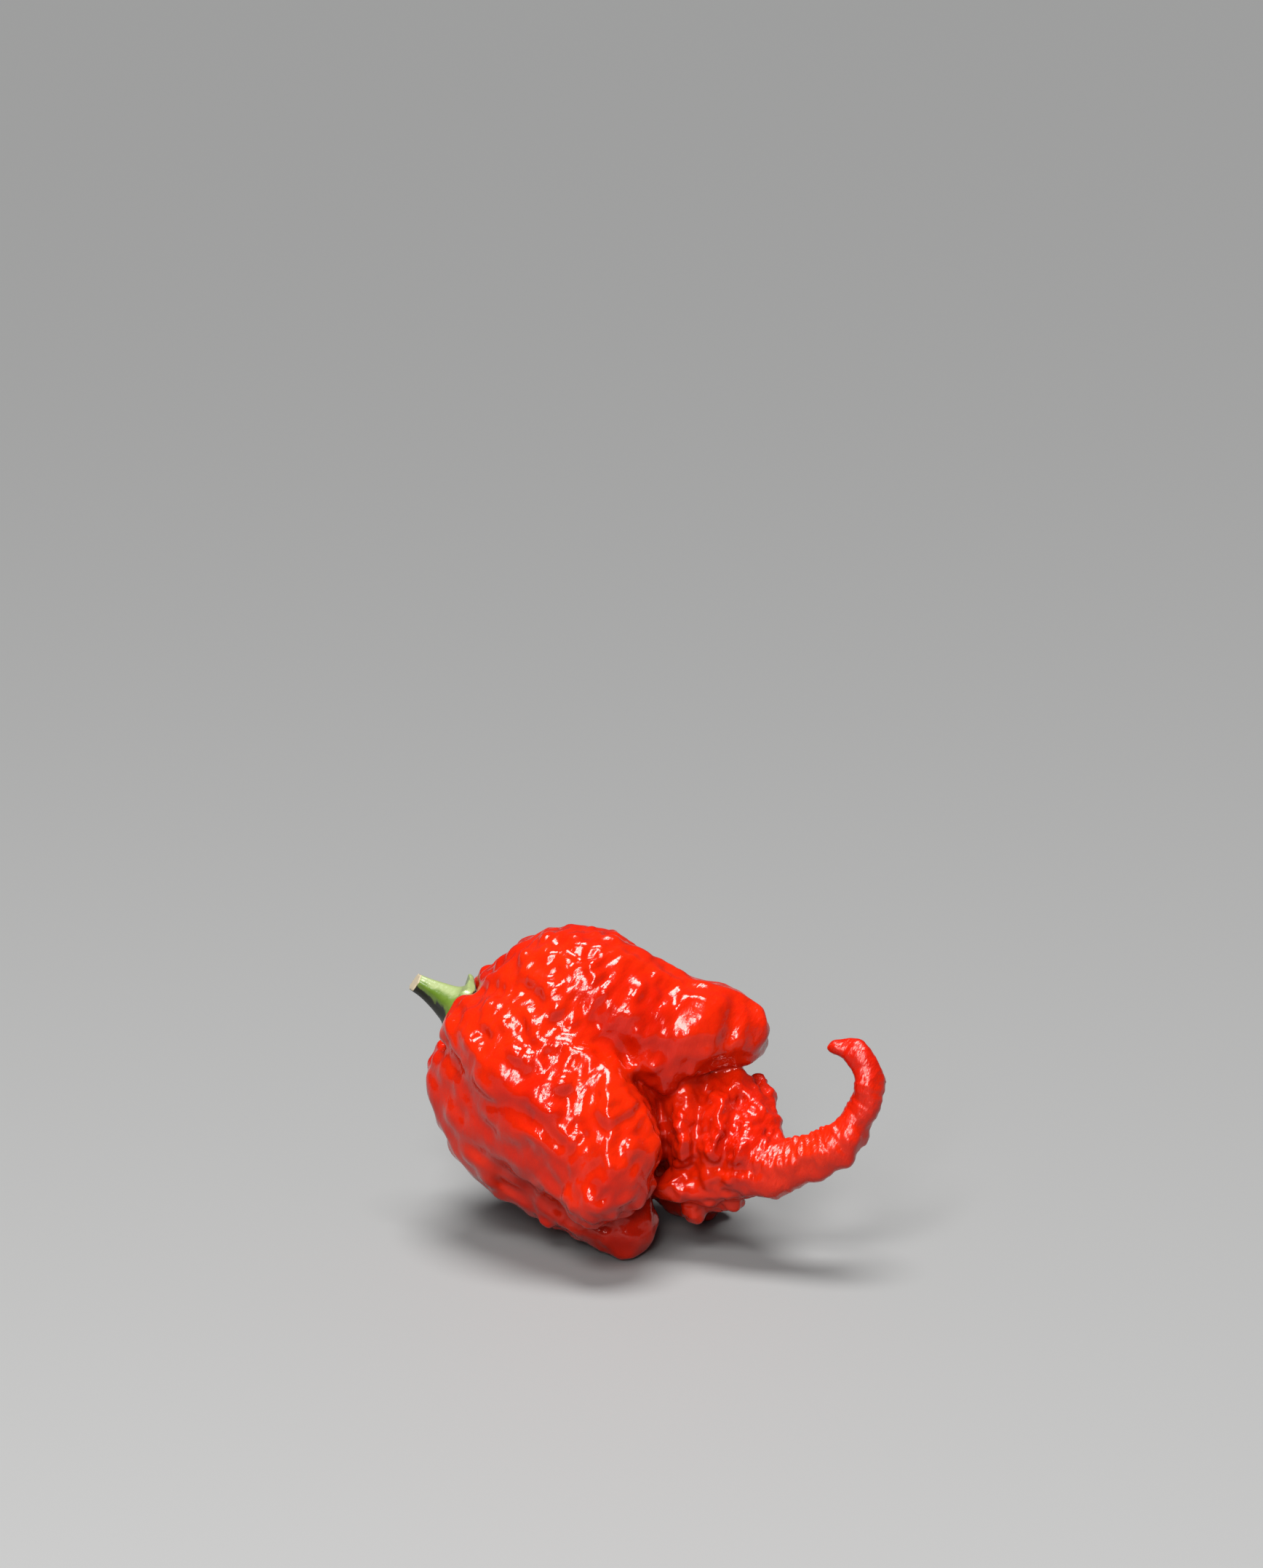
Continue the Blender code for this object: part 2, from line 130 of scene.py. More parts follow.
# The narrow tip of the fruit, which stands out from between the lobes, and its hooked tail.
CONE = [(6.3, 1.5, 16.5, 6.2), (10.3, -1.5, 15.2, 6.9), (14.6, -4.0, 13.3, 5.2)]
CONE_SHOULDER = [
    (10.2, -2.0, 19.3, 3.6),
    (14.1, -3.0, 19.7, 2.5),
    (16.1, -4.0, 17.3, 2.2),
    (18.0, -5.0, 14.9, 1.9),
]
CONE_FOOT = [
    (6.1, -2.5, 9.5, 2.3),
    (9.5, -4.0, 8.9, 2.4),
    (13.5, -5.0, 9.3, 2.2),
    (16.0, -6.0, 10.0, 2.0),
]
CONE_BLEND = 1.0
TAIL = [
    (13.0, -5.0, 12.5, 4.4),
    (17.0, -7.0, 11.2, 3.8),
    (20.5, -8.6, 11.5, 2.95),
    (23.3, -10.0, 12.0, 2.7),
    (26.2, -11.0, 13.8, 2.3),
    (28.9, -11.8, 17.4, 2.0),
    (29.7, -12.4, 20.4, 1.75),
    (29.4, -12.5, 22.2, 1.55),
    (28.7, -12.4, 23.6, 1.55),
    (27.8, -12.2, 24.6, 1.55),
    (26.8, -12.0, 25.1, 1.4),
    (25.9, -11.9, 25.2, 1.2),
    (25.2, -11.8, 25.1, 0.8),
]
TAIL_BLEND = 1.5
NODULES = [
    (16.6, -1.0, 21.2, 1.2),
    (17.7, -2.0, 19.3, 1.2),
    (17.9, -3.0, 17.3, 1.0),
    (8.9, -1.0, 6.0, 2.0),
    (11.4, -1.5, 6.7, 1.5),
    (13.5, -2.5, 7.3, 1.4),
    (15.7, -4.5, 8.3, 1.2),
    (18.9, -6.5, 8.8, 1.3),
    (6.4, -4.0, 8.8, 1.5),
]
NODULE_BLEND = 1.2

# Strokes raise or press the skin that faces the viewer: height, width, then (x, z) along the stroke.
STROKES = [
    (-0.6, 1.6, [(-12.3, 21.2), (-8.4, 22.9)]),
    (-0.6, 1.5, [(-6.0, 18.8), (-4.4, 15.0)]),
    (0.5, 1.1, [(-13.4, 15.8), (-10.0, 14.4), (-6.2, 11.4), (-4.2, 10.0)]),
    (-0.4, 1.1, [(-13.6, 18.6), (-10.2, 16.8), (-7.0, 14.2)]),
    (0.7, 1.4, [(-1.0, 23.4), (-1.2, 18.6), (-1.0, 14.6)]),
    (-0.6, 1.2, [(1.2, 16.8), (3.0, 14.6)]),
    (0.6, 1.2, [(1.2, 12.9), (-1.0, 9.8)]),
    (-0.7, 1.0, [(-20.6, 25.5), (-19.2, 22.6)]),
    (0.5, 1.3, [(-19.5, 27.3), (-15.4, 22.5), (-12.8, 22.0)]),
    (-0.8, 2.0, [(-2.3, 27.3), (-0.1, 24.2)]),
    (-0.7, 1.2, [(-17.8, 32.3), (-14.1, 31.7), (-11.0, 32.1)]),
    (-0.5, 1.5, [(-4.9, 30.4), (-6.6, 27.7)]),
    (-1.8, 0.8, [(2.3, 21.3), (4.7, 18.8), (5.9, 14.9), (5.8, 11.5), (4.9, 10.0)]),
    (-0.65, 1.4, [(13.6, 28.6), (12.6, 26.0), (12.0, 24.5)]),
    (0.7, 1.0, [(14.2, 20.9), (12.3, 18.8), (12.3, 16.6), (11.8, 14.8), (11.0, 12.8)]),
    (0.7, 0.9, [(17.2, 18.2), (14.9, 16.8), (15.6, 15.0), (14.2, 12.4)]),
    (0.5, 1.0, [(8.2, 20.1), (6.8, 18.2), (7.5, 14.9), (7.3, 12.1)]),
    (-0.7, 0.9, [(10.4, 20.6), (9.4, 17.8), (9.6, 15.0), (8.9, 11.6)]),
    (-0.8, 0.8, [(14.6, 18.8), (13.6, 15.6), (12.7, 13.4), (12.2, 11.4)]),
    (-0.4, 0.8, [(7.3, 10.5), (11.8, 11.1), (16.1, 10.4)]),
    (0.4, 0.8, [(5.7, 8.9), (7.3, 8.4)]),
    (0.35, 0.8, [(9.5, 9.3), (10.8, 9.0)]),
    (0.35, 0.8, [(13.2, 9.8), (14.6, 9.6)]),
    (0.35, 1.2, [(-13.6, 28.7), (-12.7, 29.2)]),
    (0.35, 1.1, [(-13.5, 24.0), (-12.8, 24.4)]),
    (0.35, 1.0, [(-1.6, 19.9), (-1.4, 18.8)]),
    (0.4, 1.5, [(-1.8, 11.9), (-1.3, 10.7)]),
    (0.3, 1.2, [(-10.6, 14.8), (-9.2, 14.2)]),
    (0.25, 1.2, [(-9.4, 26.4), (-8.8, 26.0)]),
    (-0.45, 0.9, [(-16.5, 12.3), (-14.4, 10.9), (-11.2, 9.2), (-9.0, 7.1), (-5.8, 4.9), (-1.5, 4.0)]),
    (-0.45, 0.6, [(-14.4, 9.3), (-11.6, 7.5), (-9.2, 4.9), (-6.4, 3.0)]),
    (0.5, 1.5, [(-3.2, 7.6), (-2.2, 6.9)]),
]
# A stroke is whole in front of the first of these, along y, and gone behind the second.
STROKE_FRONT = (-1.0, 3.0)

# Swells and small lumps all over: wavelength, height. RELIEF_REACH is how far from the skin they go.
RELIEF = [(6.5, 0.16), (3.2, 0.13)]
RELIEF_REACH = 3.0
RELIEF_WAVES = 24
RELIEF_SEED = 11

# The green: a stalk that widens into a calyx, which drapes over a pit in the fruit's end.
PIT = (-21.6, 5.6, 31.2, 4.4)
PIT_BLEND = 1.8
CALYX_CENTRE = (-19.2, 5.0, 29.7)
STALK_AXIS = (-0.79, 0.31, 0.53)
STALK = [
    (-17.0, 4.3, 28.4, 3.4),
    (-19.4, 5.2, 29.9, 2.6),
    (-21.7, 6.2, 31.4, 1.8),
    (-23.9, 7.2, 32.7, 1.3),
    (-26.6, 8.4, 34.1, 1.15),
]
# The way that the cut end faces, and how far it is from the calyx's centre.
STALK_CUT = (-0.83, -0.28, 0.48)
STALK_LENGTH = 6.0
# The stalk's ribs, and the calyx with its teeth.
STALK_SIDES = 5
STALK_RIB = 0.12
CALYX_RADIUS = 4.0
CALYX_THICKNESS = 0.7
TOOTH_LENGTH = 0.5
TEETH = 5
TOOTH_TURN = 0.7
SKIN_GAP = 0.35
GREEN_BLEND = 1.4

# The green's own grid.
GREEN_STEP = 0.16
GREEN_LOW = (-27.0, -3.0, 22.0)
GREEN_HIGH = (-13.0, 13.0, 37.0)


def smooth_row(row, pieces=6):
    """Points of a smooth curve through the row's own points, radius included."""
    row = np.array(row, float)
    ends = np.vstack([2 * row[0] - row[1], row, 2 * row[-1] - row[-2]])
    points = []
    for a, b, c, d in zip(ends, ends[1:], ends[2:], ends[3:]):
        for t in np.arange(pieces) / pieces:
            bend = (2 * a - 5 * b + 4 * c - d) * t**2 + (3 * b - a - 3 * c + d) * t**3
            points.append(b + 0.5 * ((c - a) * t + bend))
    return np.array(points + [row[-1]])


def soft_min(a, b, blend):
    """The lesser of two distances, with the corner between them rounded over `blend`."""
    share = np.clip(0.5 + 0.5 * (b - a) / blend, 0, 1)
    return b + (a - b) * share - blend * share * (1 - share)


def ripples(points, wavelength, seed):
    """A smooth random relief of unit spread: plane waves of one length, in every direction."""
    rng = np.random.default_rng(seed)
    directions = rng.normal(size=(RELIEF_WAVES, 3))
    directions *= 2 * np.pi / wavelength / np.linalg.norm(directions, axis=1)[:, None]
    phases = rng.uniform(0, 2 * np.pi, RELIEF_WAVES)
    total = sum(np.cos(points @ d + phase) for d, phase in zip(directions, phases))
    return total * math.sqrt(2 / RELIEF_WAVES)


class Field:
    """Distance to the skin on a grid, in millimetres: negative inside, and FAR where nothing is near."""

    def __init__(self, low, high, step):
        self.low = np.array(low)
        self.step = step
        counts = np.ceil((np.array(high) - self.low) / step).astype(int) + 1
        self.axes = [low + step * np.arange(n) for low, n in zip(self.low, counts)]
        self.value = np.full(counts, FAR)

    def window(self, low, high):
        """The grid's slices inside a box, and its coordinates there."""
        slices = tuple(
            slice(*np.searchsorted(axis, (a, b))) for axis, a, b in zip(self.axes, low, high)
        )
        axes = [axis[s] for axis, s in zip(self.axes, slices)]
        return slices, np.meshgrid(*axes, indexing="ij", sparse=True)

    def limb(self, row):
        """The slices where a limb is near, and the distances to it there."""
        points = smooth_row(row)
        reach = points[:, 3:] + FAR
        low = (points[:, :3] - reach).min(axis=0)
        high = (points[:, :3] + reach).max(axis=0)
        slices, (x, y, z) = self.window(low, high)
        near = np.full(self.value[slices].shape, np.inf)
        for a, b in zip(points, points[1:]):
            run = b - a
            along = (x - a[0]) * run[0] + (y - a[1]) * run[1] + (z - a[2]) * run[2]
            t = np.clip(along / (run[:3] @ run[:3]), 0, 1)
            away = [p - q - t * r for p, q, r in zip((x, y, z), a, run)]
            gap = np.sqrt(away[0] ** 2 + away[1] ** 2 + away[2] ** 2)
            near = np.minimum(near, gap - a[3] - t * run[3])
        return slices, near

    def ball(self, ball):
        """The slices where a ball is near, and the distances to it there."""
        centre, radius = np.array(ball[:3]), ball[3]
        reach = radius + FAR
        slices, (x, y, z) = self.window(centre - reach, centre + reach)
        gap = np.sqrt((x - centre[0]) ** 2 + (y - centre[1]) ** 2 + (z - centre[2]) ** 2)
        return slices, gap - radius

    def join(self, found, blend):
        """Adds what was found, with the fold between rounded over `blend`."""
        slices, other = found
        self.value[slices] = soft_min(self.value[slices], other, blend)

    def carve(self, found, blend):
        """Takes away what was found, with the edge rounded over `blend`."""
        slices, other = found
        self.value[slices] = -soft_min(-self.value[slices], other, blend)

    def stroke(self, height, width, places):
        """Raises the front skin by `height` along a line of (x, z) places, fading out over `width`."""
        x, y, z = np.meshgrid(*self.axes, indexing="ij", sparse=True)
        gap = np.full((x.size, 1, z.size), np.inf)
        for (ax, az), (bx, bz) in zip(places, places[1:]):
            along = (x - ax) * (bx - ax) + (z - az) * (bz - az)
            t = np.clip(along / ((bx - ax) ** 2 + (bz - az) ** 2), 0, 1)
            gap = np.minimum(gap, (x - ax - t * (bx - ax)) ** 2 + (z - az - t * (bz - az)) ** 2)
        front, back = STROKE_FRONT
        share = np.clip((back - y) / (back - front), 0, 1)
        self.value -= height * np.exp(-gap / width**2) * share

    def roughen(self):
        """Adds the swells and lumps, near the skin only."""
        band = np.abs(self.value) < RELIEF_REACH
        where = np.argwhere(band)
        points = self.low + self.step * where
        for number, (wavelength, height) in enumerate(RELIEF):
            self.value[band] -= height * ripples(points, wavelength, RELIEF_SEED + number)

    def at(self, points):
        """The field between the grid's nodes."""
        place = (points - self.low) / self.step
        base = np.clip(np.floor(place).astype(int), 0, np.array(self.value.shape) - 2)
        share = place - base
        total = 0
        for corner in product((0, 1), repeat=3):
            weight = np.prod(np.where(corner, share, 1 - share), axis=-1)
            index = base + corner
            total = total + weight * self.value[index[..., 0], index[..., 1], index[..., 2]]
        return total


def cell_corners(grid):
    """The eight views of a grid that hold each cell's corners, those across the cell being i and 7 - i."""
    return [
        grid[tuple(slice(o, n - 1 + o) for o, n in zip(offset, grid.shape))]
        for offset in product((0, 1), repeat=3)
    ]


def close_pinches(value):
    """Fills places where the skin would touch itself along an edge or at a point of the grid."""
    while True:
        inside = value < 0
        fill = np.zeros(inside.shape, bool)
        for axis in range(3):
            square = np.moveaxis(inside, axis, 2)
            target = np.moveaxis(fill, axis, 2)
            a, b, c, d = square[:-1, :-1], square[1:, :-1], square[:-1, 1:], square[1:, 1:]
            target[1:, :-1] |= a & d & ~b & ~c
            target[:-1, :-1] |= b & c & ~a & ~d
        corners = cell_corners(inside)
        count = sum(corner.astype(int) for corner in corners)
        targets = cell_corners(fill)
        for i in range(4):
            first, last = corners[i], corners[7 - i]
            targets[i ^ 1][...] |= first & last & (count == 2)
            targets[i][...] |= ~first & ~last & (count == 6)
        if not fill.any():
            return
        value[fill] = PINCH_FILL


def skin(field):
    """Points and quads of the surface where the field is zero: one point in each cell that it crosses."""
    value = field.value
    close_pinches(value)
    inside = value < 0
    corners = cell_corners(inside)
    crossed_cells = np.logical_or.reduce(corners) & ~np.logical_and.reduce(corners)
    cells = np.argwhere(crossed_cells)
    number = np.full(crossed_cells.shape, -1)
    number[tuple(cells.T)] = np.arange(len(cells))

    total = np.zeros((len(cells), 3))
    crossings = np.zeros(len(cells))
    quads = []
    for axis in range(3):
        along, side, up = np.roll(np.eye(3, dtype=int), axis, axis=0)
        for start in (0 * side, side, up, side + up):
            a = value[tuple((cells + start).T)]
            b = value[tuple((cells + start + along).T)]
            crossed = (a < 0) != (b < 0)
            share = np.where(crossed, a / np.where(crossed, a - b, 1), 0)
            total += crossed[:, None] * (start + share[:, None] * along)
            crossings += crossed
        first = inside[tuple(slice(0, n - o) for n, o in zip(value.shape, along))]
        second = inside[tuple(slice(o, n) for n, o in zip(value.shape, along))]
        edges = np.argwhere(first != second)
        ring = [number[tuple((edges - back).T)] for back in (0 * side, side, side + up, up)]
        quad = np.stack(ring, axis=1)
        leaving = first[tuple(edges.T)]
        quads.append(np.where(leaving[:, None], quad, quad[:, ::-1]))
    points = field.low + field.step * (cells + total / crossings[:, None])
    return points, np.concatenate(quads)


def pod_field():
    """The whole red flesh: lobes, cone and tail, with their strokes and swells."""
    field = Field(GRID_LOW, GRID_HIGH, GRID_STEP)
    for lobe, blend in LOBES:
        field.join(field.limb(lobe), blend)
    field.carve(field.ball(PIT), PIT_BLEND)
    for limb in (CONE, CONE_SHOULDER, CONE_FOOT):
        field.join(field.limb(limb), CONE_BLEND)
    field.join(field.limb(TAIL), TAIL_BLEND)
    for nodule in NODULES:
        field.join(field.ball(nodule), NODULE_BLEND)
    for height, width, places in STROKES:
        field.stroke(height, width, places)
    field.roughen()
    return field


def green_field(pod):
    """The stalk and calyx, kept off the pod's skin by SKIN_GAP."""
    field = Field(GREEN_LOW, GREEN_HIGH, GREEN_STEP)
    points = np.stack(np.meshgrid(*field.axes, indexing="ij"), axis=-1)
    axis = np.array(Vector(STALK_AXIS).normalized())
    across = np.array(Vector(STALK_AXIS).cross((0, 1, 0)).normalized())
    over = np.cross(axis, across)
    place = points - CALYX_CENTRE
    turn = np.arctan2(place @ across, place @ over)
    off_axis = np.hypot(place @ across, place @ over)

    height = pod.at(points) - SKIN_GAP
    tooth = (0.5 + 0.5 * np.cos(TEETH * (turn - TOOTH_TURN))) ** 2
    edge = off_axis - CALYX_RADIUS - TOOTH_LENGTH * tooth
    sheet = np.abs(height - CALYX_THICKNESS / 2) - CALYX_THICKNESS / 2
    calyx = np.maximum(sheet, edge)

    slices, stalk = field.limb(STALK)
    field.value[slices] = stalk - STALK_RIB * np.cos(STALK_SIDES * turn[slices])
    field.value = np.maximum(field.value, place @ np.array(STALK_CUT) - STALK_LENGTH)
    field.value = soft_min(field.value, calyx, GREEN_BLEND)
    field.value = np.maximum(field.value, -height)
    return field


# The fine relief. The wrinkles run round the fruit's axis, and are longer round it than along it.
AXIS = np.array((-0.82, 0.37, 0.43))
WRINKLE_STRETCH = 1.9
RING_STRETCH = 3.0
SMOOTHING_ROUNDS = 2

# Billows: how rounded their creases are, and what brings their middle to zero.
BILLOW_SOFTNESS = 0.3
BILLOW_MIDDLE = 1.0

# Each kind of bump: height, wavelength, seed. The heights of the rings are shares, for the rings' own
# heights below.
LUMPS = (0.05, 4.2, 31)
SWELLS = (0.08, 2.7, 34)
WRINKLES = (0.07, 2.1, 32)
FINE = (0.07, 1.3, 33)
KNOBS = (0.11, 2.2, 35)
GRAINS = (0.05, 1.2, 36)
RINGS = (1.0, 1.4, 41)
FINE_RINGS = (0.9, 0.9, 42)
TAIL_LUMPS = (0.04, 2.4, 43)

# Parts of the skin: where each starts and is whole, along x, y or z. The nose and the flank are calmer.
NOSE = {"x": (6.0, 9.0), "z": (23.0, 25.0)}
FLANK_SIDE = {"x": (-8.0, -13.0), "z": (25.0, 20.0)}
DOME = {"x": (4.0, -1.0), "z": (24.0, 29.0)}
RIDGE = {"x": (-8.0, -4.0), "y": (-6.0, -9.0), "z": (25.0, 20.0)}
CONE_SIDE = {"x": (5.0, 7.0), "y": (6.0, 1.0), "z": (24.0, 21.0)}
NOSE_CALM = 0.75
FLANK_CALM = 0.85
FLANK_LUMPS = 0.5
FINE_LEAST = 0.5

# The tail's rings: where they start and are whole, first by the distance from its line and then by
# that along it. Towards its root RINGS_HEIGHT is added, and they are calmer where the skin faces down.
RINGS_OFF_LINE = (5.0, 3.5)
RINGS_START = (1.0, 4.0)
RINGS_FADE = (24.0, 8.0)
RINGS_HEIGHT = 0.08
TIP_RINGS_HEIGHT = 0.03
UNDERSIDE = (-0.2, -0.8)
UNDERSIDE_CALM = 0.7

# The skin's reds. Its patches and bumps are noise, with this many to the metre.
BRIGHT_RED = (0.45, 0.0125, 0.0006, 1)
DEEP_RED = (0.36, 0.006, 0.0004, 1)
DARK_RED = (0.25, 0.003, 0.0006, 1)
PATCHES, MOTTLE, GLOSS_PATCHES, STRIAE, GRAIN = 90, 420, 600, 700, 1700
DARK_SHARE = 0.35

# The part of a noise's range that is stretched to the whole.
PATCHES_SPAN = (0.35, 0.65)
MOTTLE_SPAN = (0.35, 0.7)
GLOSS_SPAN = (0.3, 0.7)

# The gloss, as roughness, turns satin along x, towards the tail, and the fine striae get deeper.
GLOSS = (0.11, 0.18)
SATIN_FROM, SATIN_TO = 0.010, 0.017
SATIN = 0.14
STRIAE_FROM, STRIAE_TO = 0.009, 0.016
STRIAE_STRENGTH = (0.2, 0.5)
STRIAE_DEPTH = 0.0003
STRIAE_ROUND = 1.8
GRAIN_STRENGTH = 0.3
GRAIN_DEPTH = 0.00012
FLESH_GLOW = 0.12
GLOW_REACH = (0.0012, 0.0001, 0.00003)
SKIN_INDEX = 1.48
HIGHLIGHT_TINT = (1.0, 0.6, 0.57, 1)

# The stalk's greens: painted light makes it pale on the upper side, painted shade makes it nearly black
# below, and it is cream at the cut.
# The limits between them are ragged, and CUT_FROM and CUT_TO are millimetres short of the cut.
DARK_GREEN = (0.055, 0.10, 0.007, 1)
GREEN = (0.085, 0.13, 0.017, 1)
LIT_GREEN = (0.18, 0.22, 0.085, 1)
SHADED_GREEN = (0.007, 0.007, 0.004, 1)
CUT_CREAM = (0.34, 0.28, 0.19, 1)
LIT_SIDE = Vector((0.35, 0.0, 0.94))
LIT_FROM, LIT_TO = 0.95, 1.20
SHADED_FROM, SHADED_TO = 0.30, 0.14
RAGGED = 0.8
RAGGED_PATCHES, STREAKS, GREEN_GRAIN = 700, 500, 1800
CUT_FROM, CUT_TO = 0.16, 0.08
GREEN_GLOSS = 0.32
GREEN_GRAIN_STRENGTH = 0.4
GREEN_GRAIN_DEPTH = 0.0001

# The studio: each lamp has a name, a place, a size and its watts. The overhead light has watts to the
# square metre. FLOOR_REACH is from the middle to the edge.
FLOOR_REACH = 3.0
FLOOR_GREY = (0.17, 0.17, 0.168, 1)
FLOOR_ROUGHNESS = 0.7
SKY = (0.9, 0.93, 1.0, 1)
SKY_STRENGTH = 0.08
OVERHEAD_ANGLE = math.radians(28)
OVERHEAD_STRENGTH = 5.6
LAMPS = [
    ("front", (-0.10, -0.38, 0.44), 0.19, 3.8),
    ("low", (-0.06, -0.54, 0.27), 0.14, 2.2),
]
LAMPS_AIM = Vector((0, 0, 0.02))

# The camera looks at a place to the right of and above the shape's zero, in millimetres, like its
# distance. The lens and the film's height set its angle of view.
FRAME_MIDDLE = (1.5, 57.3)
CAMERA_ELEVATION = math.radians(14)
CAMERA_DISTANCE = 530.0
CAMERA_LENS = 100
CAMERA_FILM = 36


def vertex_normals(points, quads):
    across = points[quads[:, 2]] - points[quads[:, 0]]
    over = points[quads[:, 3]] - points[quads[:, 1]]
    facing = np.cross(across, over)
    normals = np.zeros_like(points)
    for corner in range(4):
        np.add.at(normals, quads[:, corner], facing)
    return normals / np.linalg.norm(normals, axis=1)[:, None]


def relaxed(points, quads):
    """Evens out the grid's own steps: each point moves towards the middle of its neighbours."""
    for _ in range(SMOOTHING_ROUNDS):
        total = np.zeros_like(points)
        count = np.zeros(len(points))
        for corner in range(4):
            np.add.at(total, quads[:, corner], points[quads[:, (corner + 1) % 4]])
            np.add.at(count, quads[:, corner], 1)
        points = 0.5 * points + 0.5 * total / count[:, None]
    return points


def fade(value, start, end):
    """0 at `start`, 1 at `end`, smooth between."""
    t = np.clip((value - start) / (end - start), 0, 1)
    return t * t * (3 - 2 * t)


def within(points, place):
    """1 in a part of the skin, 0 outside it, smooth between."""
    share = np.ones(len(points))
    for axis, (start, end) in place.items():
        share *= fade(points[:, "xyz".index(axis)], start, end)
    return share


def swells(points, height, wavelength, seed):
    """Smooth bumps and hollows."""
    return height * ripples(points, wavelength, seed)


def billow(points, height, wavelength, seed):
    """Rounded bumps with narrower creases between them, about zero on average."""
    wave = ripples(points, wavelength, seed)
    return height * (np.sqrt(wave * wave + BILLOW_SOFTNESS) - BILLOW_MIDDLE)


def tail_place(points):
    """How far each point is from the tail's line, in x, y and z, and how far along the tail it is."""
    row = smooth_row(TAIL)
    steps = np.linalg.norm(np.diff(row[:, :3], axis=0), axis=1)
    start = np.concatenate([[0], np.cumsum(steps)])
    gap = np.full(len(points), np.inf)
    along = np.zeros(len(points))
    offset = np.zeros_like(points)
    for a, b, length, base in zip(row, row[1:], steps, start):
        run = (b - a)[:3]
        t = np.clip((points - a[:3]) @ run / length**2, 0, 1)
        away = points - a[:3] - t[:, None] * run
        distance = np.linalg.norm(away, axis=1)
        nearer = distance < gap
        gap = np.where(nearer, distance, gap)
        along = np.where(nearer, base + t * length, along)
        offset = np.where(nearer[:, None], away, offset)
    return offset, along


def body_relief(points):
    """The lumps, wrinkles and knobs of the lobes and the cone."""
    flank = within(points, FLANK_SIDE)
    calm = np.maximum(NOSE_CALM * within(points, NOSE), FLANK_CALM * flank)
    busy = np.maximum(within(points, DOME), within(points, RIDGE))
    fine_share = FINE_LEAST + (1 - FINE_LEAST) * busy
    shrink = 1 / WRINKLE_STRETCH
    girth = points * shrink + np.outer(points @ AXIS, AXIS) * (1 - shrink)
    lumps = billow(points, *LUMPS) + swells(points, *SWELLS)
    lumps *= 1 - (1 - FLANK_LUMPS) * flank
    wrinkles = billow(girth, *WRINKLES) + fine_share * swells(girth, *FINE)
    wrinkles *= 1 - calm
    knobs = billow(points, *KNOBS) + swells(points, *GRAINS)
    return lumps + wrinkles + knobs * within(points, CONE_SIDE)


def tail_relief(points, offset, gap, along):
    """The rings round the tail, which fade towards its tip and on its underside."""
    unrolled = offset / RING_STRETCH
    unrolled[:, 0] += along
    rings = billow(unrolled, *RINGS) + swells(unrolled, *FINE_RINGS)
    rings *= 1 - UNDERSIDE_CALM * fade(offset[:, 2] / gap, *UNDERSIDE)
    rings *= RINGS_HEIGHT * fade(along, *RINGS_FADE) + TIP_RINGS_HEIGHT
    return rings + billow(points, *TAIL_LUMPS)


def pod_relief(points):
    """How far the skin stands out from the lobes at each point."""
    offset, along = tail_place(points)
    gap = np.linalg.norm(offset, axis=1)
    on_tail = fade(gap, *RINGS_OFF_LINE) * fade(along, *RINGS_START)
    return (1 - on_tail) * body_relief(points) + on_tail * tail_relief(points, offset, gap, along)


def mesh_piece(name, points, quads, material):
    """A visible piece, turned level and brought to the origin, with nothing under the floor."""
    turn = np.array(Matrix.Rotation(-LEAN, 3, "X"))
    points = points @ turn.T - ORIGIN
    points[:, 2] = np.maximum(points[:, 2], 0)
    mesh = bpy.data.meshes.new(name)
    mesh.from_pydata((points * MM).tolist(), [], quads.tolist())
    mesh.polygons.foreach_set("use_smooth", np.ones(len(quads), bool))
    mesh.materials.append(material)
    obj = bpy.data.objects.new(name, mesh)
    bpy.context.scene.collection.objects.link(obj)
    return obj


